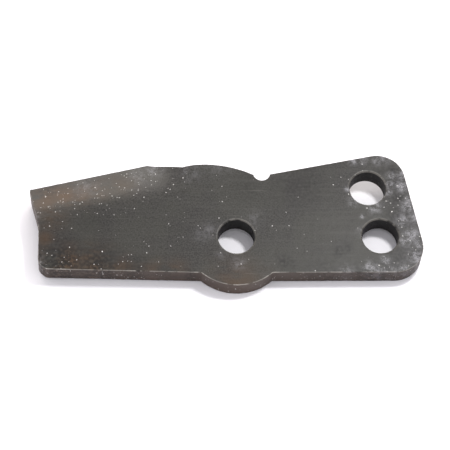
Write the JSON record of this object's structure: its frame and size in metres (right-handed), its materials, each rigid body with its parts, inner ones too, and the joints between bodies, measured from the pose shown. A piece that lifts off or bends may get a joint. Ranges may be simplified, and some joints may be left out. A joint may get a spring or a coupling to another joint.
{
  "type": "bolt-on digging tooth plate",
  "caption": "Flat steel digging tooth with a pivot hole, two setting holes, round bosses, an edge notch and a blade whose back edge is bent down.",
  "frame": {"origin": "on the pivot hole's axis, in the underside of the flat plate", "axes": "+Z out of the plate's upper face along the pivot hole's axis, +X along the shank's front edge from the pivot hole to the front setting hole, +Y towards the back edge with the notch"},
  "size_m": [0.178, 0.0648, 0.0164],
  "materials": {
    "scaled_steel": "dark mill scale with brown oxide on the cut edges, dusty, light wear along the upper edges"
  },
  "bodies": {
    "root": {"tooth_plate": "scaled_steel"}
  },
  "joints": []
}
